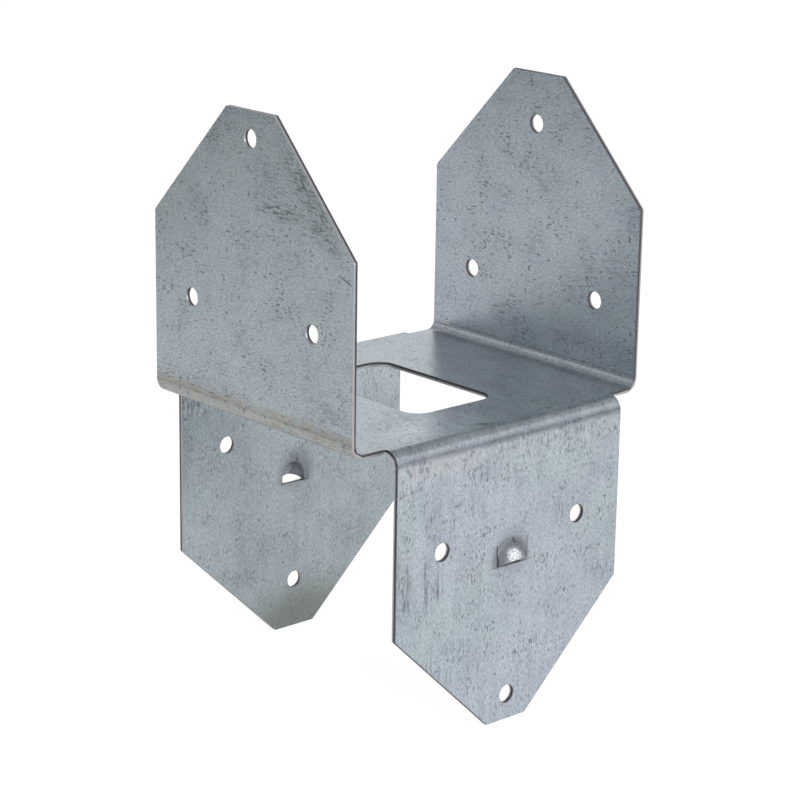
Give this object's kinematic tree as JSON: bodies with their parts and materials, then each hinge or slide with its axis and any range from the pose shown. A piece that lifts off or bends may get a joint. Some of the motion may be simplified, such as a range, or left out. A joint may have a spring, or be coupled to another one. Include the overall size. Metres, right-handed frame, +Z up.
{
  "type": "timber post base",
  "caption": "Folded galvanised sheet connector: flanges stand up around a timber post and hang down around the beam under it, from one plate with a window.",
  "frame": {"origin": "middle of the plate, half way through the sheet, which is also the middle of the part", "axes": "+Z up along the post, +X from one upper flange to the other, +Y from one lower flange to the other"},
  "size_m": [0.093, 0.088, 0.148],
  "materials": {
    "galvanised_sheet": "hot-dip galvanised sheet, satin, with fine grain and handling marks"
  },
  "bodies": {
    "root": {"post_base": "galvanised_sheet"}
  },
  "joints": []
}
